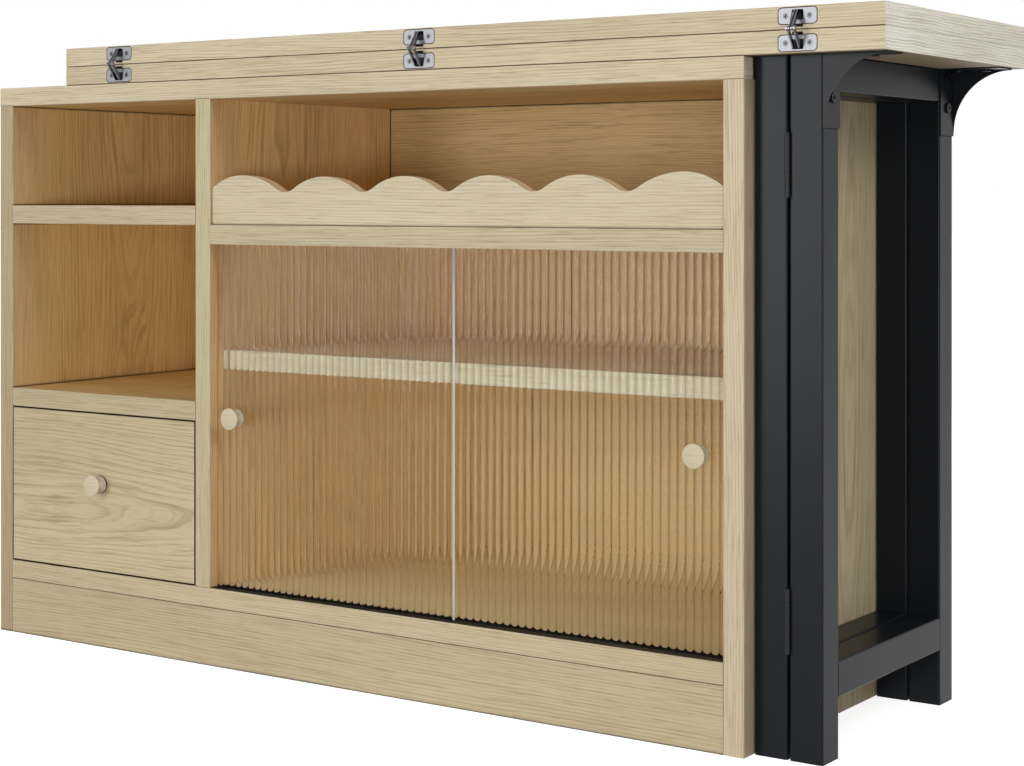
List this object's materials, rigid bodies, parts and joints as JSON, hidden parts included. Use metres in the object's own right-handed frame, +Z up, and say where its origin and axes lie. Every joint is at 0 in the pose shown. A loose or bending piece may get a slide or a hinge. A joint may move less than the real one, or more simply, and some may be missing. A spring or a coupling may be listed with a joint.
{
  "type": "kitchen table with storage cabinet",
  "caption": "Storage cabinet under a folding table top that slides out on a leg frame and opens onto a swing gate, with drawer, shelves, bottle rail and sliding reeded-glass doors.",
  "frame": {"origin": "on the floor, under the middle of the bounding box of the whole object with everything closed", "axes": "+Z up, front with the doors and the drawer toward -Y, the table slides out toward +X"},
  "size_m": [1.331, 0.4194, 0.805],
  "materials": {
    "board_wood": "oiled, fine straight grain",
    "light_wood": "turned, satin",
    "plain_wood": "plain, sanded",
    "reeded_glass": "clear, reeded on the front",
    "slate_paint": "satin powder coat",
    "black_steel": "satin black",
    "bright_chrome": "polished",
    "zinc_steel": "zinc plated",
    "guide_aluminium": "satin anodised",
    "black_plastic": "matt black"
  },
  "bodies": {
    "cabinet": {"side_panel_left": "board_wood", "side_panel_right": "board_wood", "top_board": "board_wood", "divider_panel": "board_wood", "bottom_board": "board_wood", "kick_board": "board_wood", "back_panel": "board_wood", "shelf_upper_left": "board_wood", "shelf_lower_left": "board_wood", "rack_shelf": "board_wood", "bottle_rail": "board_wood", "inner_shelf": "board_wood", "shelf_pins": "zinc_steel", "door_track_bottom": "black_plastic", "door_track_top": "black_plastic", "cabinet_dowels": "plain_wood", "cabinet_screws": "zinc_steel", "slide_outer": "zinc_steel", "slide_screws_cabinet": "zinc_steel", "table_runners": "black_plastic"},
    "slide_middle": {"slide_middle": "zinc_steel", "slide_glides": "black_plastic"},
    "drawer": {"drawer_front": "board_wood", "drawer_side_left": "plain_wood", "drawer_side_right": "plain_wood", "drawer_back": "plain_wood", "drawer_bottom": "plain_wood", "drawer_dowels": "plain_wood", "drawer_knob": "light_wood", "drawer_knob_screw": "zinc_steel", "slide_inner": "zinc_steel", "slide_screws_drawer": "zinc_steel"},
    "door_left": {"door_glass_left": "reeded_glass", "door_knob_left": "light_wood", "door_knob_screw_left": "zinc_steel"},
    "door_right": {"door_glass_right": "reeded_glass", "door_knob_right": "light_wood", "door_knob_screw_right": "zinc_steel"},
    "table": {"lower_leaf": "board_wood", "guide_channels": "guide_aluminium", "frame_posts": "slate_paint", "frame_rails": "slate_paint", "frame_screws": "black_steel", "bracket_front": "black_steel", "bracket_rear": "black_steel", "fold_plates_lower": "bright_chrome", "fold_screws_lower": "bright_chrome", "butt_leaves_table": "black_steel", "butt_screws_table": "black_steel"},
    "gate": {"gate_posts": "slate_paint", "gate_rails": "slate_paint", "butt_leaves_gate": "black_steel", "butt_screws_gate": "black_steel", "butt_pins": "black_steel"},
    "upper_leaf": {"upper_leaf": "board_wood", "fold_plates_upper": "bright_chrome", "fold_screws_upper": "bright_chrome"},
    "fold_links": {"fold_arms_upper": "bright_chrome", "fold_arms_lower": "bright_chrome", "fold_pins": "bright_chrome"}
  },
  "joints": [
    {"name": "drawer_slide", "type": "slide", "parent": "cabinet", "child": "drawer", "axis": [0, -1, 0], "range_m": [0, 0.32]},
    {"name": "slide_middle_slide", "type": "slide", "parent": "cabinet", "child": "slide_middle", "axis": [0, -1, 0], "range_m": [0, 0.16]},
    {"name": "door_left_slide", "type": "slide", "parent": "cabinet", "child": "door_left", "axis": [1, 0, 0], "range_m": [0, 0.315]},
    {"name": "door_right_slide", "type": "slide", "parent": "cabinet", "child": "door_right", "axis": [1, 0, 0], "range_m": [-0.315, 0]},
    {"name": "table_slide", "type": "slide", "parent": "cabinet", "child": "table", "axis": [1, 0, 0], "range_m": [0, 0.87]},
    {"name": "gate_swing", "type": "hinge", "parent": "table", "child": "gate", "pos_m": [0.544, -0.17155, 0], "axis": [0, 0, 1], "range_deg": [0, 180]},
    {"name": "leaf_fold", "type": "hinge", "parent": "table", "child": "upper_leaf", "pos_m": [0.0655, -0.19065, 0.78015], "axis": [1, 0, 0], "range_deg": [0, 180]},
    {"name": "link_fold", "type": "hinge", "parent": "table", "child": "fold_links", "pos_m": [0.0655, -0.19065, 0.77715], "axis": [1, 0, 0], "range_deg": [0, 90]}
  ],
  "couplings": [
    {"joint": "slide_middle_slide", "follows": "drawer_slide", "ratio": 0.5},
    {"joint": "gate_swing", "follows": "table_slide", "rad_per_m": 2.8},
    {"joint": "link_fold", "follows": "leaf_fold", "ratio": 0.5}
  ]
}
